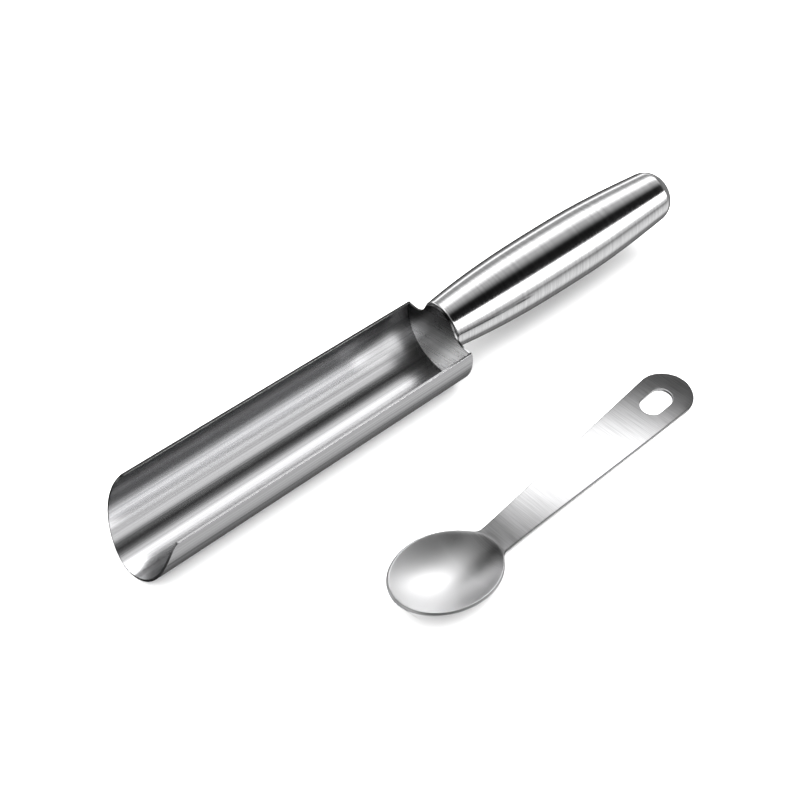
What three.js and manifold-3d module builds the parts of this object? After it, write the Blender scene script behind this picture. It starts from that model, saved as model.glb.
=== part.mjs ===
// Meatball maker: a stainless trough scoop with a hollow handle, and the small spoon that goes with it.
// Millimetres, +Z up, +X from the open mouth of the trough towards the handle.
// The origin lies on the surface that the scoop rests on, below the middle of the trough.

import * as THREE from 'three';
import { mergeVertices } from 'three/addons/utils/BufferGeometryUtils.js';
import Module from 'manifold-3d';

const { clamp, degToRad, lerp, smoothstep } = THREE.MathUtils;

// Trough: a thin round wall, open above and at the mouth
const troughRadius = 19; // outside of the wall
const troughWall = 1;
const troughLength = 143.5; // tip of the lip to the rear end
const rimHeight = 4.7; // rims above the trough's axis
const lipSetback = 15; // the rims end this far behind the tip of the lip
const lipStart = new THREE.Vector2(2.2, 3.4); // the way the lip leaves its tip: back, up
const lipCorner = 5.6; // length over which the lip turns into the rim

// End plate: closes the rear of the trough and carries the handle
const plateThickness = 1;
const shoulderFillet = 6.8; // hollow curve from the shoulders up to the hump
const humpLap = 0.2; // the hump stands out past the handle's flat front
const weldGap = 0.1; // root gap of each weld

// Handle: a hollow spindle, welded to the plate and closed at its far end
const handleHeight = 4.8; // handle axis above the trough's axis
const handleLength = 122.8;
const handleWall = 0.8;
const handleFrontRadius = 10.2;
const handleFrontEdge = 1; // rounding of the front edge
const handleFrontSlope = 0.14;
const handleBellyRadius = 13.7;
const handleBellyAt = 68; // belly behind the front end
const handleEndRadius = 11.1; // where the rounded end starts
const handleEndSlope = 0.085;
const handleRoundEnd = 7.8; // length of the rounded end
const handleNose = 7.2; // radius at which the rounded end turns flat

// Spoon: one stamped sheet with a tilted oval bowl and a flat handle that widens to a hanging slot
const spoonSheet = 1.2;
const bowlLength = 47.2;
const bowlWidth = 31.6;
const bowlDepth = 7.6;
const bowlTilt = degToRad(15.5); // the bowl's rim rises this much away from the handle
const spoonHandleLength = 108.2;
const neckWidth = 11.8;
const spoonEndWidth = 21.8;
const spoonRoundEnd = 11; // length of the rounded end
const neckFillet = 2; // rounding where the handle runs into the bowl
const neckBend = 5; // length each side of the neck over which the sheet bends
const neckSoftness = 0.12; // how gently the handle dips into the bowl, against the bowl's depth
const slotLength = 14.8;
const slotWidth = 9.2;
const slotFromEnd = 9.1; // sheet left between the slot and the end

// Where the spoon lies beside the scoop
const spoonAhead = 31.1; // neck of the spoon, from the middle of the trough
const spoonAside = 55.9; // neck of the spoon, from the wall of the trough
const spoonTurn = degToRad(4.3);

// Sides and steps of the round surfaces
const troughSides = 29; // an odd number, so that one side lies flat underneath
const handleSides = 32;
const handleSteps = 9; // for each of the handle's curves
const bowlSteps = 22;
const bendSteps = 4;
const spoonEndSteps = 8;
const spoonAcross = 14;
const tipStep = 0.4; // first and last steps of the spoon, which leave it a short straight end

const cutReach = 5; // how far a cutting shape runs past what it cuts

// Half of the angle that the trough's wall covers, from its lowest line to a rim
const rimAngle = Math.PI / 2 + Math.asin(rimHeight / troughRadius);
const axisHeight = troughRadius * Math.cos(rimAngle / troughSides);
const mouthX = -troughLength / 2;
const rearX = troughLength / 2;

const wasm = await Module();
wasm.setup();

// A section is drawn as (Y, Z) and runs along X. A side view is drawn as (X, Z) and runs across Y.
const alongX = new THREE.Matrix4().makeBasis(
  new THREE.Vector3(0, 1, 0),
  new THREE.Vector3(0, 0, 1),
  new THREE.Vector3(1, 0, 0),
);
const acrossY = new THREE.Matrix4().makeBasis(
  new THREE.Vector3(1, 0, 0),
  new THREE.Vector3(0, 0, 1),
  new THREE.Vector3(0, -1, 0),
);

function steel(color, roughness) {
  return new THREE.MeshStandardMaterial({ color, roughness, metalness: 1 });
}

function named(name, geometry, material) {
  geometry.computeVertexNormals();
  const mesh = new THREE.Mesh(geometry, material);
  mesh.name = name;
  return mesh;
}

function extrude(shape, depth, curveSegments = 12) {
  return new THREE.ExtrudeGeometry(shape, { depth, curveSegments, bevelEnabled: false });
}

// A closed geometry with its shared corners merged and no empty triangles
function welded(geometry) {
  const bare = geometry.clone();
  bare.deleteAttribute('normal');
  bare.deleteAttribute('uv');
  const merged = mergeVertices(bare);
  const corners = merged.index.array;
  const kept = [];
  for (let i = 0; i < corners.length; i += 3) {
    const [a, b, c] = corners.slice(i, i + 3);
    if (a !== b && b !== c && c !== a) kept.push(a, b, c);
  }
  merged.setIndex(kept);
  return merged;
}

function solid(geometry) {
  const closed = welded(geometry);
  return new wasm.Manifold(new wasm.Mesh({
    numProp: 3,
    vertProperties: new Float32Array(closed.attributes.position.array),
    triVerts: new Uint32Array(closed.index.array),
  }));
}

function cut(body, tool) {
  const result = solid(body).subtract(solid(tool)).getMesh();
  const geometry = new THREE.BufferGeometry();
  geometry.setAttribute('position', new THREE.BufferAttribute(result.vertProperties, 3));
  geometry.setIndex(new THREE.BufferAttribute(result.triVerts, 1));
  return geometry;
}

// Corners of the trough's round section at some radius, from one rim under to the other
function wallCorners(radius) {
  const corners = [];
  for (let i = 0; i <= troughSides; i += 1) {
    const angle = rimAngle * (2 * i / troughSides - 1);
    corners.push(new THREE.Vector2(radius * Math.sin(angle), -radius * Math.cos(angle)));
  }
  return corners;
}

// The lip seen from the side: it rises back from its tip and rounds over into the rims
function lipCutter() {
  const side = new THREE.Shape();
  side.moveTo(-cutReach, -troughRadius - cutReach);
  side.lineTo(0, -troughRadius - cutReach);
  side.lineTo(0, -troughRadius);
  side.bezierCurveTo(
    lipStart.x, lipStart.y - troughRadius,
    lipSetback - lipCorner, rimHeight,
    lipSetback, rimHeight,
  );
  side.lineTo(lipSetback, rimHeight + cutReach);
  side.lineTo(-cutReach, rimHeight + cutReach);
  const width = 2 * (troughRadius + cutReach);
  return extrude(side, width).applyMatrix4(acrossY).translate(0, width / 2, 0);
}

function troughShell() {
  const section = new THREE.Shape([
    ...wallCorners(troughRadius),
    ...wallCorners(troughRadius - troughWall).reverse(),
  ]);
  const wall = extrude(section, troughLength).applyMatrix4(alongX);
  const mesh = named('trough_shell', cut(wall, lipCutter()), steel(0xc4c6c8, 0.32));
  mesh.position.set(mouthX, 0, axisHeight);
  return mesh;
}

// The plate fills the round section up to the rims, then rises in a hump in front of the handle
function endPlate() {
  const corners = wallCorners(troughRadius - troughWall - weldGap);
  const shoulder = corners.at(-1);
  const humpRadius = handleFrontRadius - handleFrontEdge + humpLap;
  const filletZ = shoulder.y + shoulderFillet;
  const filletY = Math.sqrt((humpRadius + shoulderFillet) ** 2 - (filletZ - handleHeight) ** 2);
  const lean = Math.atan2(filletZ - handleHeight, filletY);

  const outline = new THREE.Shape(corners);
  outline.lineTo(filletY, shoulder.y);
  outline.absarc(filletY, filletZ, shoulderFillet, -Math.PI / 2, lean - Math.PI, true);
  outline.absarc(0, handleHeight, humpRadius, lean, Math.PI - lean, false);
  outline.absarc(-filletY, filletZ, shoulderFillet, -lean, -Math.PI / 2, true);

  const sheet = extrude(outline, plateThickness).applyMatrix4(alongX);
  const mesh = named('end_plate', welded(sheet), steel(0xb4b6b8, 0.36));
  mesh.position.set(rearX - plateThickness, 0, axisHeight);
  return mesh;
}

// Carries a half profile of the handle, as (radius, length behind the front), on from its front to its axis
function handleProfile(half, inset) {
  const belly = handleBellyRadius - inset;
  const end = handleEndRadius - inset;
  const endAt = handleLength - handleRoundEnd;
  const tip = handleLength - inset;
  const rise = handleBellyAt / 3;
  const fall = (endAt - handleBellyAt) / 3;
  const turn = (tip - endAt) / 2;
  const front = half.currentPoint;
  half.bezierCurveTo(
    front.x + handleFrontSlope * rise, front.y + rise,
    belly, handleBellyAt - rise,
    belly, handleBellyAt,
  );
  half.bezierCurveTo(
    belly, handleBellyAt + fall,
    end + handleEndSlope * fall, endAt - fall,
    end, endAt,
  );
  half.bezierCurveTo(
    end - handleEndSlope * turn, endAt + turn,
    handleNose - inset, tip,
    0, tip,
  );
  return half.getPoints(handleSteps);
}

function handleOutside() {
  const flat = handleFrontRadius - handleFrontEdge;
  const half = new THREE.Path();
  half.moveTo(0, 0);
  half.lineTo(flat, 0);
  half.quadraticCurveTo(handleFrontRadius, 0, handleFrontRadius, handleFrontEdge);
  return new THREE.LatheGeometry(handleProfile(half, 0), handleSides);
}

// The hollow runs out through the front, so that it is open to the plate
function handleHollow() {
  const radius = handleFrontRadius - handleFrontEdge - handleWall;
  const half = new THREE.Path();
  half.moveTo(0, -cutReach);
  half.lineTo(radius, -cutReach);
  half.lineTo(radius, handleFrontEdge);
  return new THREE.LatheGeometry(handleProfile(half, handleWall), handleSides);
}

function handleShell() {
  const shell = cut(handleOutside(), handleHollow()).rotateZ(-Math.PI / 2);
  const mesh = named('handle_shell', shell, steel(0xd0d2d4, 0.2));
  mesh.position.set(rearX + weldGap, 0, axisHeight + handleHeight);
  return mesh;
}

// Spoon sheet: its plan and its height, with the neck at 0 and the handle towards +X
const bowlHalf = bowlLength * Math.cos(bowlTilt) / 2;
const spoonEndAt = spoonHandleLength - spoonRoundEnd;

function spoonHalfWidth(x) {
  const endHalf = spoonEndWidth / 2;
  if (x > spoonEndAt) return endHalf * Math.sqrt(1 - ((x - spoonEndAt) / spoonRoundEnd) ** 2);
  const fromMiddle = Math.min(Math.abs(x / bowlHalf + 1), 1);
  const bowl = bowlWidth / 2 * Math.sqrt(1 - fromMiddle ** 2);
  if (x < -bowlHalf) return bowl;
  const handle = lerp(neckWidth / 2, endHalf, clamp(x / spoonEndAt, 0, 1));
  const fillet = neckFillet * (1 - clamp(Math.abs(x) / bowlHalf, 0, 1));
  return (bowl + handle + Math.hypot(bowl - handle, fillet)) / 2;
}

function spoonTop(x, y) {
  const bend = clamp(neckBend - x, 0, 2 * neckBend) ** 2 / (4 * neckBend);
  const rise = Math.tan(bowlTilt) * (bend + Math.max(-neckBend - x, 0));
  const inside = 1 - (x / bowlHalf + 1) ** 2 - (2 * y / bowlWidth) ** 2;
  const soft = neckSoftness * smoothstep(x, -bowlHalf, 0);
  const dish = bowlDepth * (inside + Math.hypot(inside, soft)) / 2;
  return new THREE.Vector3(x, y, rise - dish);
}

// The same point on the underside, one sheet thickness along the surface normal
function spoonUnder(x, y) {
  const step = 0.01;
  const slopeX = spoonTop(x + step, y).sub(spoonTop(x - step, y));
  const slopeY = spoonTop(x, y + step).sub(spoonTop(x, y - step));
  return spoonTop(x, y).addScaledVector(slopeX.cross(slopeY).normalize(), -spoonSheet);
}

// Cross-sections of the spoon from the tip of its bowl to the end of its handle, closer where it is round
function spoonStations() {
  const stations = [];
  for (let i = tipStep; i < bowlSteps; i += 1) {
    stations.push(-bowlHalf * (1 + Math.cos(Math.PI * i / bowlSteps)));
  }
  for (let i = 0; i <= bendSteps; i += 1) stations.push(neckBend * i / bendSteps);
  for (let i = spoonEndSteps; i >= tipStep; i -= 1) {
    stations.push(spoonEndAt + spoonRoundEnd * Math.cos(Math.PI / 2 * i / spoonEndSteps));
  }
  stations.push(spoonEndAt + spoonRoundEnd * Math.cos(Math.PI / 2 * tipStep / spoonEndSteps));
  return stations;
}

// A loft over the stations: top and underside of each cross-section, closed round the edge
function spoonLoft() {
  const stations = spoonStations();
  const row = spoonAcross + 1;
  const points = [];
  for (const surface of [spoonTop, spoonUnder]) {
    for (const x of stations) {
      const half = spoonHalfWidth(x);
      for (let j = 0; j < row; j += 1) points.push(surface(x, half * (2 * j / spoonAcross - 1)));
    }
  }
  const under = stations.length * row;
  const end = under - row;
  const faces = [];
  const quad = (a, b, c, d) => faces.push(a, b, c, a, c, d);
  for (let near = 0; near < end; near += row) {
    const far = near + row;
    const [nearEdge, farEdge] = [near + spoonAcross, far + spoonAcross];
    for (let j = 0; j < spoonAcross; j += 1) {
      quad(near + j, far + j, far + j + 1, near + j + 1);
      quad(under + near + j, under + near + j + 1, under + far + j + 1, under + far + j);
    }
    quad(near, under + near, under + far, far);
    quad(nearEdge, farEdge, under + farEdge, under + nearEdge);
  }
  for (let j = 0; j < spoonAcross; j += 1) {
    quad(j, j + 1, under + j + 1, under + j);
    quad(end + j, under + end + j, under + end + j + 1, end + j + 1);
  }
  return new THREE.BufferGeometry().setFromPoints(points).setIndex(faces);
}

function slotCutter() {
  const radius = slotWidth / 2;
  const far = spoonHandleLength - slotFromEnd - radius;
  const near = far - slotLength + slotWidth;
  const outline = new THREE.Shape();
  outline.absarc(far, 0, radius, -Math.PI / 2, Math.PI / 2, false);
  outline.absarc(near, 0, radius, Math.PI / 2, 3 * Math.PI / 2, false);
  return extrude(outline, 2 * cutReach, 6).translate(0, 0, -cutReach);
}

// Angle at which the spoon lies on the bottom of its bowl and the end of its handle
function restPitch(sheet) {
  const corner = new THREE.Vector3();
  let pitch = 0;
  for (let i = 0; i < sheet.attributes.position.count; i += 1) {
    corner.fromBufferAttribute(sheet.attributes.position, i);
    const slope = Math.atan2(-spoonSheet - corner.z, spoonHandleLength - corner.x);
    if (corner.x < 0) pitch = Math.max(pitch, slope);
  }
  return pitch;
}

function spoon() {
  const sheet = cut(spoonLoft(), slotCutter());
  sheet.rotateY(restPitch(sheet));
  sheet.computeBoundingBox();
  const mesh = named('spoon', sheet, steel(0xbfc1c3, 0.4));
  mesh.rotation.z = spoonTurn;
  mesh.position.set(spoonAhead, -troughRadius - spoonAside, -sheet.boundingBox.min.z);
  return mesh;
}

const scoop = new THREE.Group();
scoop.add(troughShell(), endPlate(), handleShell());

const meatballMaker = new THREE.Group();
meatballMaker.add(scoop, spoon());

export default meatballMaker;
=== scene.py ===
import math

import bmesh
import bpy
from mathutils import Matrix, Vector


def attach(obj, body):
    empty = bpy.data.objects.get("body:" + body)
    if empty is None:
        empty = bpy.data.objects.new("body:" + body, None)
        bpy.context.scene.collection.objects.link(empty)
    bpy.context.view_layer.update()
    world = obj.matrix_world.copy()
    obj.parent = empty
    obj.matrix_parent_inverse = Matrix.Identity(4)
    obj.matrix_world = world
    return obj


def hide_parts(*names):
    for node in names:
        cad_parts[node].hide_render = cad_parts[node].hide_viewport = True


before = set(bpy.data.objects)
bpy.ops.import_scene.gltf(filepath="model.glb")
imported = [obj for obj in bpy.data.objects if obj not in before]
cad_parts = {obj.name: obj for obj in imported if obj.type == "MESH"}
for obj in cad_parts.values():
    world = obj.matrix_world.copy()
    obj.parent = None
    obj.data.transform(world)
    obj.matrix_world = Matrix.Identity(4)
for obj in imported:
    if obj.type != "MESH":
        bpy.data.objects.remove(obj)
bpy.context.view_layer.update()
mm = 0.001  # the pieces' sizes are in millimetres, the studio's in metres
xAxis = (1, 0, 0)
nearly = 0.01 * mm  # points closer than this count as level
sameSpot = 0.001 * mm  # points closer than this are merged
sharpEdge = 50  # degrees from which an edge counts as sharp


# small helpers for modelling by hand

def deselectAll():
    bpy.ops.object.select_all(action='DESELECT')


def editMode():
    bpy.ops.object.mode_set(mode='EDIT')


def objectMode():
    bpy.ops.object.mode_set(mode='OBJECT')


def clamp(value, low, high):
    return max(low, min(high, value))


def bezier(points, t):
    a, b, c, d = [Vector(p) for p in points]
    s = 1 - t
    return a * s**3 + b * (3 * t * s**2) + c * (3 * t**2 * s) + d * t**3


# starts with one vertex at the first point and draws it out to the others
def drawLine(name, points):
    deselectAll()
    bpy.ops.mesh.primitive_plane_add(size=mm)
    piece = bpy.context.object
    piece.name = name
    piece.data.name = name
    editMode()
    bpy.ops.mesh.select_mode(type='VERT')
    bpy.ops.mesh.select_all(action='SELECT')
    bpy.ops.mesh.merge(type='CENTER')
    bpy.ops.transform.translate(value=points[0])
    drawOn(points)
    return piece


# the last vertex, which is selected, goes on through more points
def drawOn(points):
    for here, there in zip(points, points[1:]):
        bpy.ops.mesh.extrude_vertices_move(TRANSFORM_OT_translate={"value": there - here})


# spins what is selected about a line along X, from +Y towards +Z
def turnOut(angle, steps, centre):
    bpy.ops.mesh.spin(steps=steps, angle=-angle, center=centre, axis=xAxis)


def pick(piece, kind, wanted):
    bpy.ops.mesh.select_mode(type=kind)
    bpy.ops.mesh.select_all(action='DESELECT')
    mesh = bmesh.from_edit_mesh(piece.data)
    for element in {'VERT': mesh.verts, 'EDGE': mesh.edges, 'FACE': mesh.faces}[kind]:
        if wanted(element):
            element.select_set(True)
    bmesh.update_edit_mesh(piece.data)


def applied(piece, kind, **settings):
    modifier = piece.modifiers.new(kind.lower(), kind)
    for name, value in settings.items():
        setattr(modifier, name, value)
    bpy.ops.object.modifier_apply(modifier=modifier.name)


# merges doubles and turns an open sheet so that the chosen face looks the right way
def cleanSheet(piece, chooseFace, lookingTo):
    bpy.ops.mesh.select_all(action='SELECT')
    bpy.ops.mesh.remove_doubles(threshold=sameSpot)
    bpy.ops.mesh.normals_make_consistent(inside=False)
    mesh = bmesh.from_edit_mesh(piece.data)
    face = chooseFace(mesh.faces)
    face.normal_update()
    if face.normal.dot(Vector(lookingTo)) < 0:
        bpy.ops.mesh.flip_normals()


# rounds the sharp edges and leaves the flats flat
def softenEdges(piece, width):
    applied(
        piece, 'BEVEL', width=width * mm, segments=3, limit_method='ANGLE',
        angle_limit=math.radians(sharpEdge), use_clamp_overlap=False,
    )
    bpy.ops.object.shade_smooth_by_angle(angle=math.radians(sharpEdge))
    applied(piece, 'WEIGHTED_NORMAL', mode='FACE_AREA_WITH_ANGLE', weight=60, keep_sharp=True)


# trough: a sheet turned from rim to rim, its mouth drawn back to the lip's curve, then given its wall

troughSizes = {
    "radius": 18.96,  # outside: it just touches the floor
    "wall": 1.0,
    "length": 143.5,
    "rimHeight": 4.7,  # above the trough's axis
    "lipCurve": [(0.05, -18.96), (2.2, -15.6), (9.4, 4.7), (15, 4.7)],  # (behind the tip, above the axis)
    "columns": [0, 30, 70, 110, 140, 143.5],  # behind the tip
    "fineSweep": 14,  # degrees below each rim with close rows, for the corner of the lip
    "fineRows": 28,
    "roundRows": 76,
    "rearRound": 0.55,
    "edgeRound": 0.1,
    "rimFacing": 0.7,  # a sheared face on a rim looks up at least this much
    "lipFacing": 0.5,  # and one on the lip forward
}
troughAxis = Vector((0, 0, troughSizes["radius"])) * mm
mouthX = -troughSizes["length"] / 2 * mm
rearX = troughSizes["length"] / 2 * mm
lipSearchSteps = 30


# how far behind the tip the lip's edge lies at a height
def lipSetback(height):
    low, high = 0.0, 1.0
    for step in range(lipSearchSteps):
        middle = (low + high) / 2
        if bezier(troughSizes["lipCurve"], middle).y < height:
            low = middle
        else:
            high = middle
    return bezier(troughSizes["lipCurve"], low).x * mm


def makeTrough():
    s = troughSizes
    rimTilt = math.asin(s["rimHeight"] / s["radius"])
    rimY = s["radius"] * math.cos(rimTilt) * mm
    rimZ = troughAxis.z + s["rimHeight"] * mm
    fine = math.radians(s["fineSweep"])
    piece = drawLine("trough", [Vector((mouthX + x * mm, rimY, rimZ)) for x in s["columns"]])
    bpy.ops.mesh.select_all(action='SELECT')
    turnOut(-fine, s["fineRows"], troughAxis)
    turnOut(-(math.pi + 2 * rimTilt - 2 * fine), s["roundRows"], troughAxis)
    turnOut(-fine, s["fineRows"], troughAxis)
    cleanSheet(piece, lambda faces: min(faces, key=lambda f: f.calc_center_median().z), (0, 0, -1))

    # the mouth's edge goes back height by height
    def atMouth(v):
        return abs(v.co.x - mouthX) < nearly

    mesh = bmesh.from_edit_mesh(piece.data)
    heights = sorted({round(v.co.z, 7) for v in mesh.verts if atMouth(v)})
    for height in heights:
        pick(piece, 'VERT', lambda v: atMouth(v) and abs(v.co.z - height) < sameSpot)
        back = lipSetback((height - troughAxis.z) / mm)
        bpy.ops.transform.translate(value=(back, 0, 0))

    objectMode()
    applied(piece, 'SOLIDIFY', thickness=s["wall"] * mm, offset=-1, use_even_offset=True)

    # the rear end is ground round on the outside
    def outside(v):
        fromAxis = (v.co - troughAxis).yz.length
        return v.co.x > rearX - nearly and fromAxis > (s["radius"] - s["wall"] / 2) * mm

    editMode()
    pick(piece, 'EDGE', lambda e: all(outside(v) for v in e.verts))
    bpy.ops.mesh.bevel(offset=s["rearRound"] * mm, segments=4, affect='EDGES')
    objectMode()
    softenEdges(piece, s["edgeRound"])

    # the sheared faces along the lip and the rims are marked for painted shade
    shearedShade = piece.data.attributes.new("shearedShade", 'FLOAT', 'FACE')
    for face in piece.data.polygons:
        alongRim = face.normal.z > s["rimFacing"] and face.center.z > troughAxis.z
        alongLip = face.normal.x < -s["lipFacing"]
        shearedShade.data[face.index].value = float(alongLip or alongRim)
    return piece


# end plate: its outline drawn in arcs, filled and pulled out to its thickness

plateSizes = {
    "radius": 17.86,  # inside the trough's wall
    "thickness": 1.0,
    "humpRadius": 9.4,
    "shoulderFillet": 6.8,
    "handleHeight": 4.8,  # the handle's axis above the trough's
    "roundRows": 72,
    "filletRows": 12,
    "humpRows": 40,
    "edgeRound": 0.2,
}
handleAxis = troughAxis + Vector((0, 0, plateSizes["handleHeight"])) * mm


def makePlate():
    s = plateSizes
    frontX = rearX - s["thickness"] * mm
    rimTilt = math.asin(troughSizes["rimHeight"] / troughSizes["radius"])
    shoulderY = s["radius"] * math.cos(rimTilt) * mm
    shoulderZ = troughAxis.z + s["radius"] * math.sin(rimTilt) * mm
    fillet = s["shoulderFillet"] * mm
    filletZ = shoulderZ + fillet
    reach = s["humpRadius"] * mm + fillet
    filletY = math.sqrt(reach**2 - (filletZ - handleAxis.z)**2)
    lean = math.atan2(filletZ - handleAxis.z, filletY)

    piece = drawLine("endPlate", [Vector((frontX, shoulderY, shoulderZ))])
    turnOut(-(math.pi + 2 * rimTilt), s["roundRows"], troughAxis)
    drawOn([Vector((frontX, -shoulderY, shoulderZ)), Vector((frontX, -filletY, shoulderZ))])
    turnOut(math.pi / 2 - lean, s["filletRows"], (frontX, -filletY, filletZ))
    turnOut(-(math.pi - 2 * lean), s["humpRows"], handleAxis)
    turnOut(math.pi / 2 - lean, s["filletRows"], (frontX, filletY, filletZ))
    bpy.ops.mesh.select_all(action='SELECT')
    bpy.ops.mesh.remove_doubles(threshold=sameSpot)
    bpy.ops.mesh.edge_face_add()
    bpy.ops.mesh.extrude_region_move(TRANSFORM_OT_translate={"value": (s["thickness"] * mm, 0, 0)})
    bpy.ops.mesh.select_all(action='SELECT')
    bpy.ops.mesh.normals_make_consistent(inside=False)
    objectMode()
    softenEdges(piece, s["edgeRound"])
    return piece


# handle: half of its outline, spun right round its axis

handleSizes = {
    "gap": 0.1,  # behind the end plate
    "frontRadius": 10.2,
    "frontEdge": 1.0,
    "swell": [(1, 10.2), (23.67, 13.37), (45.33, 13.7), (68, 13.7)],  # (behind the front, radius)
    "taper": [(68, 13.7), (83.67, 13.7), (99.33, 12.43), (115, 11.1)],
    "roundEnd": [(115, 11.1), (118.9, 10.77), (122.8, 7.2), (122.8, 0)],
    "frontRing": 0.6,  # where a ring parts the flat front, as a share of it
    "edgeSteps": 6,
    "curveSteps": {"swell": 26, "taper": 20, "roundEnd": 18},
    "turns": 144,
}


def makeHandle():
    s = handleSizes
    flat = s["frontRadius"] - s["frontEdge"]
    outline = [Vector((0, 0)), Vector((0, flat * s["frontRing"])), Vector((0, flat))]
    for i in range(1, s["edgeSteps"]):
        a = math.pi / 2 * i / s["edgeSteps"]
        outline.append(Vector((s["frontEdge"] * (1 - math.cos(a)), flat + s["frontEdge"] * math.sin(a))))
    for curve, steps in s["curveSteps"].items():
        start = 0 if curve == "swell" else 1
        outline += [bezier(s[curve], i / steps) for i in range(start, steps + 1)]
    frontX = rearX + s["gap"] * mm
    piece = drawLine("handle", [Vector((frontX + p.x * mm, 0, handleAxis.z + p.y * mm)) for p in outline])
    bpy.ops.mesh.select_all(action='SELECT')
    turnOut(2 * math.pi, s["turns"], handleAxis)
    bpy.ops.mesh.select_all(action='SELECT')
    bpy.ops.mesh.remove_doubles(threshold=2 * sameSpot)
    bpy.ops.mesh.normals_make_consistent(inside=False)
    objectMode()
    bpy.ops.object.shade_smooth_by_angle(angle=math.radians(sharpEdge))
    return piece


# spoon: points drawn across, pulled along row by row, dished, bent at the neck and given its sheet

spoonSizes = {
    "sheet": 1.2,
    "bowlLength": 47.2,
    "bowlWidth": 31.2,
    "bowlDepth": 7.6,
    "bowlTilt": 15.5,  # degrees
    "handleLength": 108.2,
    "neckWidth": 11.8,
    "endWidth": 21.8,
    "roundEnd": 11.0,
    "neckFillet": 2.0,
    "neckBend": 5.0,
    "neckSoftness": 0.12,
    "slotLength": 14.8,
    "slotWidth": 9.2,
    "slotFromEnd": 9.1,
    "neckAt": (31.1, -74.9),
    "turn": 4.3,  # degrees
    "across": 30,
    "bowlRows": 48,
    "tipRow": 0.3,  # how far into the first step the bowl's blunt tip lies
    "neckRows": [0, 1.2, 2.5, 3.8, 5, 8, 20, 40, 60, 80],
    "endRows": 16,
    "bluntEnd": 0.001,  # the last row stops this share of the round end short
    "punchHeight": 10,
    "punchRound": 0.999,  # of half the slot's width
    "edgeRound": 0.28,
}
spoonTilt = math.radians(spoonSizes["bowlTilt"])
bowlHalf = spoonSizes["bowlLength"] * math.cos(spoonTilt) / 2
spoonEndAt = spoonSizes["handleLength"] - spoonSizes["roundEnd"]


def spoonHalfWidth(x):
    s = spoonSizes
    endHalf = s["endWidth"] / 2
    if x > spoonEndAt:
        return endHalf * math.sqrt(1 - ((x - spoonEndAt) / s["roundEnd"])**2)
    fromMiddle = min(abs(x / bowlHalf + 1), 1)
    bowl = s["bowlWidth"] / 2 * math.sqrt(1 - fromMiddle**2)
    if x < -bowlHalf:
        return bowl
    along = clamp(x / spoonEndAt, 0, 1)
    handle = s["neckWidth"] / 2 * (1 - along) + endHalf * along
    fillet = s["neckFillet"] * (1 - clamp(abs(x) / bowlHalf, 0, 1))
    return (bowl + handle + math.hypot(bowl - handle, fillet)) / 2


def spoonRise(x):
    bend = spoonSizes["neckBend"]
    curved = clamp(bend - x, 0, 2 * bend)**2 / (4 * bend)
    return math.tan(spoonTilt) * (curved + max(-bend - x, 0))


# how deep the bowl is at a point, as a share of its full depth
def spoonDish(x, y):
    inside = 1 - (x / bowlHalf + 1)**2 - (2 * y / spoonSizes["bowlWidth"])**2
    near = clamp((x + bowlHalf) / bowlHalf, 0, 1)
    soft = spoonSizes["neckSoftness"] * near * near * (3 - 2 * near)
    return (inside + math.hypot(inside, soft)) / 2


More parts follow.
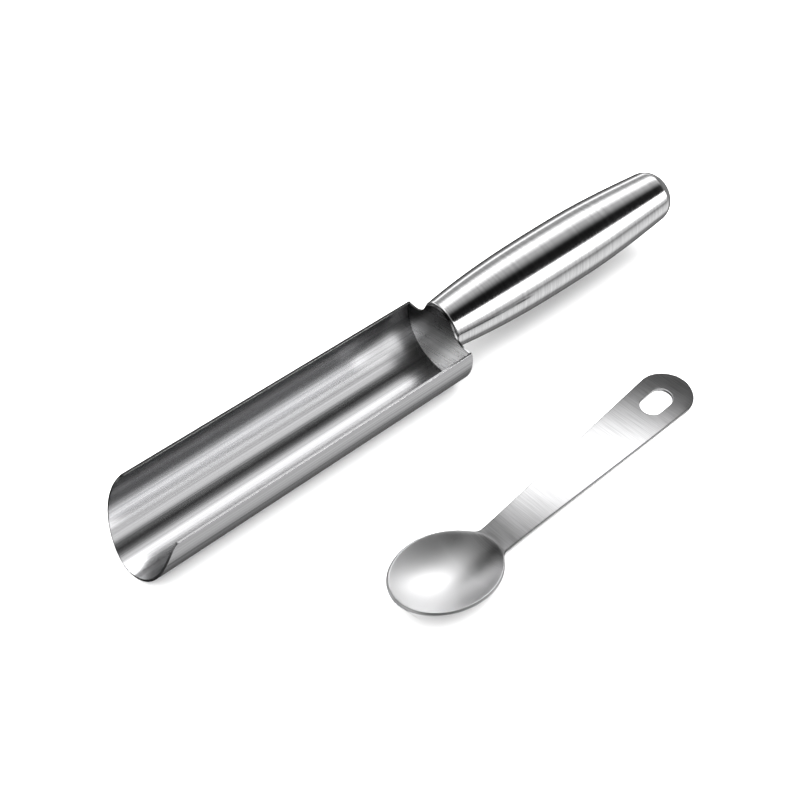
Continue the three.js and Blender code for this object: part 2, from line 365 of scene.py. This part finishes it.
def makeSpoon():
    s = spoonSizes
    rows = [
        -bowlHalf * (1 + math.cos(math.pi * (i + s["tipRow"]) / s["bowlRows"]))
        for i in range(s["bowlRows"])
    ]
    rows += s["neckRows"]
    rows += [
        spoonEndAt + s["roundEnd"] * math.sin(math.pi / 2 * i / s["endRows"])
        for i in range(s["endRows"])
    ]
    rows.append(s["handleLength"] - s["roundEnd"] * s["bluntEnd"])
    half = spoonHalfWidth(rows[0])
    across = [half * (2 * j / s["across"] - 1) for j in range(s["across"] + 1)]
    piece = drawLine("spoon", [Vector((rows[0], y, 0)) * mm for y in across])
    bpy.ops.mesh.select_mode(type='EDGE')
    bpy.ops.mesh.select_all(action='SELECT')
    for here, there in zip(rows, rows[1:]):
        bpy.ops.mesh.extrude_edges_move(TRANSFORM_OT_translate={"value": ((there - here) * mm, 0, 0)})
        wider = spoonHalfWidth(there) / spoonHalfWidth(here)
        bpy.ops.transform.resize(value=(1, wider, 1), center_override=(0, 0, 0))
    cleanSheet(piece, lambda faces: faces[:][0], (0, 0, 1))
    objectMode()

    # painted weights carry the height of the rim and the hollow of the bowl
    highest = spoonRise(rows[0])
    rise = piece.vertex_groups.new(name="rise")
    dish = piece.vertex_groups.new(name="dish")
    for v in piece.data.vertices:
        x, y = v.co.x / mm, v.co.y / mm
        rise.add([v.index], spoonRise(x) / highest, 'REPLACE')
        dish.add([v.index], clamp(spoonDish(x, y), 0, 1), 'REPLACE')
    heights = {"rise": highest * mm, "dish": -s["bowlDepth"] * mm}
    for group, height in heights.items():
        applied(piece, 'DISPLACE', direction='Z', mid_level=0, strength=height, vertex_group=group)
    applied(piece, 'SOLIDIFY', thickness=s["sheet"] * mm, offset=-1, use_even_offset=True)

    # the hanging slot is punched with a rounded block
    middle = s["handleLength"] - s["slotFromEnd"] - s["slotLength"] / 2
    deselectAll()
    bpy.ops.mesh.primitive_cube_add(size=mm, location=(middle * mm, 0, 0))
    punch = bpy.context.object
    punch.scale = (s["slotLength"], s["slotWidth"], s["punchHeight"])
    bpy.ops.object.transform_apply(location=True, rotation=True, scale=True)
    editMode()
    pick(punch, 'EDGE', lambda e: abs(e.verts[0].co.z - e.verts[1].co.z) > mm)
    bpy.ops.mesh.bevel(offset=s["slotWidth"] / 2 * s["punchRound"] * mm, segments=16, affect='EDGES')
    objectMode()
    deselectAll()
    piece.select_set(True)
    bpy.context.view_layer.objects.active = piece
    applied(piece, 'BOOLEAN', operation='DIFFERENCE', solver='EXACT', object=punch)
    bpy.data.objects.remove(punch)
    softenEdges(piece, s["edgeRound"])

    # it lies on the bottom of its bowl and on the end of its handle
    endX = s["handleLength"] * mm
    under = -s["sheet"] * mm
    pitch = max(math.atan2(under - v.co.z, endX - v.co.x) for v in piece.data.vertices if v.co.x < 0)
    piece.rotation_euler = (0, pitch, math.radians(s["turn"]))
    piece.location = Vector((*s["neckAt"], 0)) * mm
    bpy.ops.object.transform_apply(location=True, rotation=True, scale=True)
    piece.location.z = -min(v.co.z for v in piece.data.vertices)
    bpy.ops.object.transform_apply(location=True, rotation=True, scale=True)
    return piece


trough = makeTrough()
print("trough made:", len(trough.data.polygons), "faces")
plate = makePlate()
print("end plate made:", len(plate.data.polygons), "faces")
handle = makeHandle()
print("handle made:", len(handle.data.polygons), "faces")
spoon = makeSpoon()
print("spoon made:", len(spoon.data.polygons), "faces")


# brushed steel: long grain and cloudy patches, with a satin bowl and some places darkened as painted
# shade

grainLook = {
    "coarseShare": 0.06,  # of the coarser lines among the fine ones
    "cloudShare": 0.4,  # of the clouds in the roughness
    "even": 0.5,  # what the lines fade to where there is no grain
    "depth": 0.05,  # of the lines
}


def addNode(tree, kind, **inputs):
    node = tree.nodes.new(kind)
    for name, value in inputs.items():
        node.inputs[name.replace("_", " ")].default_value = value
    return node


def newGroup(name, inputs, outputs):
    group = bpy.data.node_groups.new(name, 'ShaderNodeTree')
    for socket, kind, value in inputs:
        made = group.interface.new_socket(socket, in_out='INPUT', socket_type=kind)
        if value is not None:
            made.default_value = value
    for socket, kind in outputs:
        group.interface.new_socket(socket, in_out='OUTPUT', socket_type=kind)
    return group, group.nodes.new('NodeGroupInput'), group.nodes.new('NodeGroupOutput')


# fine lines along the long side of the stretched coordinates, with a coarser set between them
def makeGrainGroup():
    group, given, out = newGroup(
        "brushedGrain",
        [
            ("Coords", 'NodeSocketVector', None),
            ("Fine", 'NodeSocketFloat', 1.0),
            ("Coarse", 'NodeSocketFloat', 0.2),
        ],
        [("Grain", 'NodeSocketFloat')],
    )
    link = group.links.new
    fine = addNode(group, 'ShaderNodeTexNoise', Detail=3.0, Roughness=0.65)
    coarse = addNode(group, 'ShaderNodeTexNoise', Detail=2.0, Roughness=0.5)
    both = addNode(group, 'ShaderNodeMix', Factor=grainLook["coarseShare"])
    spread = addNode(group, 'ShaderNodeMapRange', From_Min=0.32, From_Max=0.68)
    link(given.outputs["Coords"], fine.inputs["Vector"])
    link(given.outputs["Coords"], coarse.inputs["Vector"])
    link(given.outputs["Fine"], fine.inputs["Scale"])
    link(given.outputs["Coarse"], coarse.inputs["Scale"])
    link(fine.outputs["Fac"], both.inputs["A"])
    link(coarse.outputs["Fac"], both.inputs["B"])
    link(both.outputs["Result"], spread.inputs["Value"])
    link(spread.outputs["Result"], out.inputs["Grain"])
    return group


# slow cloudy change, as of handling and wiping
def makeCloudGroup():
    group, given, out = newGroup(
        "wipedClouds",
        [("Coords", 'NodeSocketVector', None), ("Scale", 'NodeSocketFloat', 30.0)],
        [("Cloud", 'NodeSocketFloat')],
    )
    link = group.links.new
    noise = addNode(group, 'ShaderNodeTexNoise', Detail=4.0, Roughness=0.6)
    spread = addNode(group, 'ShaderNodeMapRange', From_Min=0.35, From_Max=0.65)
    link(given.outputs["Coords"], noise.inputs["Vector"])
    link(given.outputs["Scale"], noise.inputs["Scale"])
    link(noise.outputs["Fac"], spread.inputs["Value"])
    link(spread.outputs["Result"], out.inputs["Cloud"])
    return group


# painted shade: leaves the full colour up to one value and a share of it from another
def makePaintedShadeGroup():
    group, given, out = newGroup(
        "paintedShadePlaces",
        [
            ("Colour", 'NodeSocketColor', None),
            ("Value", 'NodeSocketFloat', 0.0),
            ("Full", 'NodeSocketFloat', 0.0),
            ("Shaded", 'NodeSocketFloat', 1.0),
            ("Share", 'NodeSocketFloat', 1.0),
        ],
        [("Colour", 'NodeSocketColor')],
    )
    link = group.links.new
    fade = addNode(group, 'ShaderNodeMapRange', To_Min=1)
    fade.interpolation_type = 'SMOOTHSTEP'
    shade = addNode(group, 'ShaderNodeMix', Factor=1)
    shade.data_type = 'RGBA'
    shade.blend_type = 'MULTIPLY'
    link(given.outputs["Value"], fade.inputs["Value"])
    link(given.outputs["Full"], fade.inputs["From Min"])
    link(given.outputs["Shaded"], fade.inputs["From Max"])
    link(given.outputs["Share"], fade.inputs["To Max"])
    link(given.outputs["Colour"], shade.inputs["A"])
    link(fade.outputs["Result"], shade.inputs["B"])
    link(shade.outputs["Result"], out.inputs["Colour"])
    return group


grainGroup = makeGrainGroup()
cloudGroup = makeCloudGroup()
paintedShadeGroup = makePaintedShadeGroup()

# stretch: how close the lines are along X, Y and Z, per metre
# grainFrom: where along X the satin bowl turns into brushed steel
# the plate's upper shade: between which heights, leaning to the back, the plate is drawn darker towards
# its hump: painted shade
# sheared faces: what share of the colour they keep, drawn darker as painted shade
# the trough's back shade: how far back the trough's side is drawn darker: painted shade
# the neck shade: between which places along the spoon, towards its bowl, the neck is drawn darker:
# painted shade
steelLooks = {
    "troughSteel": {
        "dark": (0.295, 0.295, 0.30), "light": (0.475, 0.475, 0.48), "rough": (0.20, 0.27),
        "stretch": (2, 950, 950), "turn": (0, 0, 0), "bump": 0.05, "shearedShade": 0.28,
        "paintedBackShade": (17.0, 17.9),
    },
    "plateSteel": {
        "dark": (0.58, 0.58, 0.585), "light": (0.82, 0.82, 0.825), "rough": (0.24, 0.32),
        "stretch": (900, 20, 2000), "turn": (13, 0, 0), "bump": 0.15, "paintedUpperShade": (10, 25),
    },
    "handleSteel": {
        "dark": (0.53, 0.53, 0.535), "light": (0.69, 0.69, 0.695), "rough": (0.12, 0.17),
        "stretch": (2100, 40, 40), "turn": (0, 0, 0), "bump": 0.05,
    },
    "spoonSteel": {
        "dark": (0.44, 0.44, 0.445), "light": (0.62, 0.62, 0.625), "rough": (0.27, 0.35),
        "stretch": (2600, 60, 60), "turn": (0, 0, -spoonSizes["turn"]), "bump": 0.08,
        "grainFrom": (16, 30), "satin": 0.45, "satinColour": (0.85, 0.85, 0.855),
        "paintedNeckShade": (-44, -31),
    },
}

# which way each painted shade runs, and what share of the colour it leaves
shadings = {
    "paintedUpperShade": ((0, 0.45, 0.89), 0.10),
    "paintedBackShade": ((0, 1, 0), 0.6),
    "paintedNeckShade": ((-1, 0, 0), 0.6),
}


def makeSteel(name):
    look = steelLooks[name]
    material = bpy.data.materials.new(name)
    material.use_nodes = True
    tree = material.node_tree
    link = tree.links.new
    shader = tree.nodes["Principled BSDF"]
    shader.inputs["Metallic"].default_value = 1.0
    place = tree.nodes.new('ShaderNodeTexCoord')
    stretch = addNode(tree, 'ShaderNodeMapping', Scale=look["stretch"])
    turn = addNode(tree, 'ShaderNodeMapping', Rotation=[math.radians(a) for a in look["turn"]])
    grain = tree.nodes.new('ShaderNodeGroup')
    grain.node_tree = grainGroup
    clouds = tree.nodes.new('ShaderNodeGroup')
    clouds.node_tree = cloudGroup
    link(place.outputs["Object"], turn.inputs["Vector"])
    link(turn.outputs["Vector"], stretch.inputs["Vector"])
    link(stretch.outputs["Vector"], grain.inputs["Coords"])
    link(place.outputs["Object"], clouds.inputs["Coords"])
    lines = grain.outputs["Grain"]
    if "grainFrom" in look:
        along = tree.nodes.new('ShaderNodeSeparateXYZ')
        start, end = look["grainFrom"]
        comeIn = addNode(tree, 'ShaderNodeMapRange', From_Min=start * mm, From_Max=end * mm)
        faded = addNode(tree, 'ShaderNodeMix', A=grainLook["even"])
        link(place.outputs["Object"], along.inputs["Vector"])
        link(along.outputs["X"], comeIn.inputs["Value"])
        link(comeIn.outputs["Result"], faded.inputs["Factor"])
        link(lines, faded.inputs["B"])
        lines = faded.outputs["Result"]

    tint = tree.nodes.new('ShaderNodeMix')
    tint.data_type = 'RGBA'
    tint.inputs["A"].default_value = (*look["dark"], 1)
    tint.inputs["B"].default_value = (*look["light"], 1)
    link(lines, tint.inputs["Factor"])
    colour = tint.outputs["Result"]

    def paintShade(value, full, shaded, share):
        places = tree.nodes.new('ShaderNodeGroup')
        places.node_tree = paintedShadeGroup
        places.inputs["Full"].default_value = full
        places.inputs["Shaded"].default_value = shaded
        places.inputs["Share"].default_value = share
        link(value, places.inputs["Value"])
        link(colour, places.inputs["Colour"])
        return places.outputs["Colour"]

    # painted shade: each shading draws the colour darker between its two places
    for shading, (leaning, share) in shadings.items():
        if shading in look:
            measured = tree.nodes.new('ShaderNodeVectorMath')
            measured.operation = 'DOT_PRODUCT'
            measured.inputs[1].default_value = leaning
            link(place.outputs["Object"], measured.inputs[0])
            full, shaded = look[shading]
            colour = paintShade(measured.outputs["Value"], full * mm, shaded * mm, share)
    # painted shade: the sheared faces along the rims and the lip are drawn darker
    if "shearedShade" in look:
        marks = tree.nodes.new('ShaderNodeAttribute')
        marks.attribute_name = "shearedShade"
        colour = paintShade(marks.outputs["Fac"], 0, 1, look["shearedShade"])
    if "grainFrom" in look:
        pale = tree.nodes.new('ShaderNodeMix')
        pale.data_type = 'RGBA'
        pale.inputs["A"].default_value = (*look["satinColour"], 1)
        link(comeIn.outputs["Result"], pale.inputs["Factor"])
        link(colour, pale.inputs["B"])
        colour = pale.outputs["Result"]
    link(colour, shader.inputs["Base Color"])

    both = addNode(tree, 'ShaderNodeMix', Factor=grainLook["cloudShare"])
    rough = addNode(tree, 'ShaderNodeMapRange', To_Min=look["rough"][0], To_Max=look["rough"][1])
    link(lines, both.inputs["A"])
    link(clouds.outputs["Cloud"], both.inputs["B"])
    link(both.outputs["Result"], rough.inputs["Value"])
    roughness = rough.outputs["Result"]
    if "grainFrom" in look:
        satin = addNode(tree, 'ShaderNodeMix', A=look["satin"])
        link(comeIn.outputs["Result"], satin.inputs["Factor"])
        link(roughness, satin.inputs["B"])
        roughness = satin.outputs["Result"]
    link(roughness, shader.inputs["Roughness"])

    bump = addNode(tree, 'ShaderNodeBump', Strength=look["bump"], Distance=grainLook["depth"] * mm)
    link(lines, bump.inputs["Height"])
    link(bump.outputs["Normal"], shader.inputs["Normal"])
    return material


pieces = [
    (trough, "scoop", "trough_shell", "trough_steel", "troughSteel"),
    (plate, "scoop", "end_plate", "plate_steel", "plateSteel"),
    (handle, "scoop", "handle_shell", "handle_steel", "handleSteel"),
    (spoon, "spoon", "spoon", "spoon_steel", "spoonSteel"),
]
for piece, body, node, slot, finish in pieces:
    piece.data.materials.clear()
    piece.data.materials.append(makeSteel(finish))
    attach(piece, body)
    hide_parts(node)
print("finishes set on", len(pieces), "pieces")


# floor, lights and camera

# long boxes run beside the scoop: degrees round its axis, from the back over the top to the front
# soft: the share of a box over which it fades at its lower and upper edge
# reach: from where to where along X; lit: what it lights; shadows: the only pieces that block it
# bands go round the room: degrees of their middle, how far from it they are full and where they end
wholeRow = (-1.3, 1.3)
besideTrough = (-0.15, 1.3)
beforeMouth = (-1.5, -0.5)
besidePlate = (0.1, 1.3)
bowlMiddle = (0.0, -0.08, 0.008)
studio = {
    "longBoxes": {
        "backBox": {
            "span": (30, 80), "soft": (0.5, 0.5), "reach": wholeRow, "glow": 2.4, "lit": [handle],
        },
        "topBox": {
            "span": (60, 112), "soft": (0.3, 0.6), "reach": wholeRow, "glow": 0.65, "lit": [handle],
        },
        "frontBox": {
            "span": (141, 183), "soft": (0.4, 0.1), "reach": wholeRow, "glow": 2.9, "lit": [handle],
        },
        "troughBack": {
            "span": (34, 80), "soft": (0.5, 0.5), "reach": besideTrough, "glow": 2.9, "lit": [trough],
        },
        "troughTop": {
            "span": (56, 94), "soft": (0.3, 0.4), "reach": besideTrough, "glow": 0.9, "lit": [trough],
        },
        "troughBox": {
            "span": (112, 148), "soft": (0.5, 0.3), "reach": besideTrough, "glow": 1.75, "lit": [trough],
        },
        "troughFront": {
            "span": (141, 176), "soft": (0.4, 0.3), "reach": besideTrough, "glow": 3.0, "lit": [trough],
        },
        "leftBack": {
            "span": (20, 80), "soft": (0.4, 0.4), "reach": beforeMouth, "glow": 2.6, "lit": [trough],
        },
        "leftFront": {
            "span": (112, 175), "soft": (0.4, 0.4), "reach": beforeMouth, "glow": 2.6, "lit": [trough],
        },
        "plateBack": {
            "span": (30, 80), "soft": (0.5, 0.5), "reach": besidePlate, "glow": 2.4, "lit": [plate],
        },
        "plateFront": {
            "span": (141, 183), "soft": (0.4, 0.1), "reach": besidePlate, "glow": 2.9, "lit": [plate],
        },
        "rimBox": {
            "span": (22, 54), "soft": (0.3, 0.4), "reach": besideTrough, "glow": 8.0, "lit": [trough],
            "shadows": [plate],
        },
        "wallBox": {
            "span": (150, 200), "soft": (0.4, 0.4), "reach": (0.04, 1.3), "glow": 7.5, "lit": [trough],
            "shadows": [plate],
        },
    },
    "longBoxAway": 0.6,
    "smallBoxes": {
        "spoonBox": {
            "at": (0.116, -0.046, 0.059), "aim": (0.075, -0.077, 0.008),
            "size": (0.075, 0.075), "soft": (0.5, 0.5), "glow": 3.5, "lit": [spoon],
        },
        "bowlBox": {
            "at": (0.95, 0.20, 0.25), "aim": bowlMiddle,
            "size": (0.60, 0.50), "soft": (0.3, 0.3), "glow": 1.4, "lit": [spoon],
        },
        "cornerFill": {
            "at": (0.0627, -0.0044, 0.0122), "aim": (0.0537, 0.0156, 0.0100),
            "size": (0.024, 0.014), "soft": (0.45, 0.45), "glow": 1.8, "lit": [trough],
        },
        "plateGlow": {
            "at": (0.058, 0.006, -0.012), "aim": (0.0712, -0.0060, 0.0100),
            "size": (0.018, 0.018), "soft": (0.5, 0.5), "glow": 6.5, "lit": [plate],
            "shadows": [spoon],
        },
        "spoonLeft": {
            "at": (-0.80, -0.45, 0.60), "aim": bowlMiddle,
            "size": (0.9, 0.9), "soft": (0.3, 0.3), "glow": 0.7, "lit": [spoon],
        },
        "spoonGlow": {
            "at": (-0.20, -0.10, 0.90), "aim": bowlMiddle,
            "size": (1.0, 1.2), "soft": (0.3, 0.3), "glow": 0.3, "lit": [spoon],
        },
        "bowlTop": {
            "at": (0.040, -0.071, 0.036), "aim": (0.005, -0.078, 0.004),
            "size": (0.022, 0.022), "soft": (0.5, 0.5), "glow": 1.9, "lit": [spoon],
        },
    },
    "bands": {
        "backHorizon": {"middle": 14, "full": 6, "fade": 34, "glow": 0.45},
        "horizonLine": {"middle": 6, "full": 1, "fade": 8, "glow": 1.5},
        "frontHorizon": {"middle": 184, "full": 3, "fade": 12, "glow": 0.8},
        "nearFloor": {"middle": 222, "full": 6, "fade": 32, "glow": 0.9},
        "underFloor": {"middle": 246, "full": 8, "fade": 40, "glow": 0.18},
        "farFloor": {"middle": 300, "full": 30, "fade": 60, "glow": 0.1},
    },
    "mouthEnd": (-0.75, -0.97),  # how far along X the bands fade out
    "handleEnd": (0.75, 0.97),
    "endGlow": 0.3,
    "roomGlow": 0.005,
    "floorSun": {"above": 2, "angle": 90, "strength": 9.0},
    "floorSize": 30.0,
    "floorColour": (0.86, 0.86, 0.86),
    "floorRoughness": 0.9,
}

world = bpy.data.worlds.new("studio")
bpy.context.scene.world = world
world.use_nodes = True
room = world.node_tree


def roomMath(operation, first, second):
    node = room.nodes.new('ShaderNodeMath')
    node.operation = operation
    for socket, value in zip(node.inputs, (first, second)):
        if isinstance(value, (int, float)):
            socket.default_value = value
        else:
            room.links.new(value, socket)
    return node.outputs["Value"]


# light that is full near the middle of a band and fades out on both sides
def bandLight(direction, band):
    turn = math.radians(band["middle"])
    nearness = room.nodes.new('ShaderNodeVectorMath')
    nearness.operation = 'DOT_PRODUCT'
    nearness.inputs[1].default_value = (0, math.cos(turn), math.sin(turn))
    room.links.new(direction, nearness.inputs[0])
    fade = addNode(
        room, 'ShaderNodeMapRange', To_Max=band["glow"],
        From_Min=math.cos(math.radians(band["fade"])), From_Max=math.cos(math.radians(band["full"])),
    )
    fade.interpolation_type = 'SMOOTHSTEP'
    room.links.new(nearness.outputs["Value"], fade.inputs["Value"])
    return fade.outputs["Result"]


outward = room.nodes.new('ShaderNodeTexCoord').outputs["Generated"]
split = room.nodes.new('ShaderNodeSeparateXYZ')
room.links.new(outward, split.inputs["Vector"])
across = room.nodes.new('ShaderNodeCombineXYZ')
room.links.new(split.outputs["Y"], across.inputs["Y"])
room.links.new(split.outputs["Z"], across.inputs["Z"])
around = room.nodes.new('ShaderNodeVectorMath')
around.operation = 'NORMALIZE'
room.links.new(across.outputs["Vector"], around.inputs[0])

glow = studio["roomGlow"]
for band in studio["bands"].values():
    glow = roomMath('ADD', bandLight(around.outputs["Vector"], band), glow)
for end in ("mouthEnd", "handleEnd"):
    inner, outer = studio[end]
    past = addNode(room, 'ShaderNodeMapRange', From_Min=inner, From_Max=outer)
    past.interpolation_type = 'SMOOTHSTEP'
    room.links.new(split.outputs["X"], past.inputs["Value"])
    glow = roomMath('MULTIPLY', glow, roomMath('SUBTRACT', 1, past.outputs["Result"]))
    glow = roomMath('ADD', glow, roomMath('MULTIPLY', past.outputs["Result"], studio["endGlow"]))
whiteWall = room.nodes.new('ShaderNodeLightPath').outputs["Is Camera Ray"]
room.links.new(roomMath('MAXIMUM', glow, whiteWall), room.nodes["Background"].inputs["Color"])


# a flat light that fades towards its edges and reaches only some pieces
def addBox(name, at, towards, size, box):
    soft = box["soft"]
    bpy.ops.object.light_add(type='AREA', location=at)
    light = bpy.context.object
    light.name = name
    light.rotation_euler = towards.to_track_quat('-Z', 'Y').to_euler()
    light.visible_camera = False
    light.data.shape = 'RECTANGLE'
    light.data.size, light.data.size_y = size
    light.data.energy = box["glow"] * math.pi * size[0] * size[1]
    light.data.use_nodes = True
    tree = light.data.node_tree
    spot = tree.nodes.new('ShaderNodeNewGeometry')
    split = tree.nodes.new('ShaderNodeSeparateXYZ')
    tree.links.new(spot.outputs["Parametric"], split.inputs["Vector"])
    rise = addNode(tree, 'ShaderNodeMapRange', From_Max=soft[0])
    fall = addNode(tree, 'ShaderNodeMapRange', From_Min=1, From_Max=1 - soft[1])
    both = tree.nodes.new('ShaderNodeMath')
    both.operation = 'MULTIPLY'
    for socket, fade in zip(both.inputs, (rise, fall)):
        fade.interpolation_type = 'SMOOTHSTEP'
        tree.links.new(split.outputs["Y"], fade.inputs["Value"])
        tree.links.new(fade.outputs["Result"], socket)
    tree.links.new(both.outputs["Value"], tree.nodes["Emission"].inputs["Strength"])
    light.light_linking.receiver_collection = bpy.data.collections.new(name + "Lit")
    for piece in box["lit"]:
        light.light_linking.receiver_collection.objects.link(piece)
    if "shadows" in box:
        light.light_linking.blocker_collection = bpy.data.collections.new(name + "Shadows")
        for piece in box["shadows"]:
            light.light_linking.blocker_collection.objects.link(piece)


for name, box in studio["longBoxes"].items():
    low, high = [math.radians(a) for a in box["span"]]
    turn = (low + high) / 2
    out = Vector((0, math.cos(turn), math.sin(turn)))
    start, end = box["reach"]
    at = troughAxis + out * studio["longBoxAway"] + Vector(((start + end) / 2, 0, 0))
    size = (end - start, 2 * studio["longBoxAway"] * math.tan((high - low) / 2))
    addBox(name, at, -out, size, box)
for name, box in studio["smallBoxes"].items():
    at = Vector(box["at"])
    addBox(name, at, Vector(box["aim"]) - at, box["size"], box)

# a broad overhead light for the floor alone, which the steel doesn't mirror
bpy.ops.object.light_add(type='SUN', location=(0, 0, studio["floorSun"]["above"]))
floorSun = bpy.context.object
floorSun.name = "floorSun"
floorSun.data.energy = studio["floorSun"]["strength"]
floorSun.data.angle = math.radians(studio["floorSun"]["angle"])
floorSun.visible_glossy = False

deselectAll()
bpy.ops.mesh.primitive_plane_add(size=studio["floorSize"])
floor = bpy.context.object
floor.name = "floor"
floor.visible_glossy = False  # the steel mirrors the room's floor lights instead
paper = bpy.data.materials.new("paperFloor")
paper.use_nodes = True
paperShader = paper.node_tree.nodes["Principled BSDF"]
paperShader.inputs["Base Color"].default_value = (*studio["floorColour"], 1)
paperShader.inputs["Roughness"].default_value = studio["floorRoughness"]
paperShader.inputs["Specular IOR Level"].default_value = 0.0
floor.data.materials.append(paper)

cameraView = {
    "at": (-0.12641, -0.22419, 0.33457),
    "turn": (40.181, 1.047, -39.618),  # degrees
    "lens": 50.85,
    "sensor": 36,
    "nearest": 0.01,
}
cameraTurn = [math.radians(a) for a in cameraView["turn"]]
bpy.ops.object.camera_add(location=cameraView["at"], rotation=cameraTurn)
camera = bpy.context.object
camera.data.lens = cameraView["lens"]
camera.data.sensor_width = cameraView["sensor"]
camera.data.sensor_fit = 'HORIZONTAL'
camera.data.clip_start = cameraView["nearest"]
bpy.context.scene.camera = camera
bpy.context.scene.view_settings.view_transform = 'Standard'
print("studio and camera set")
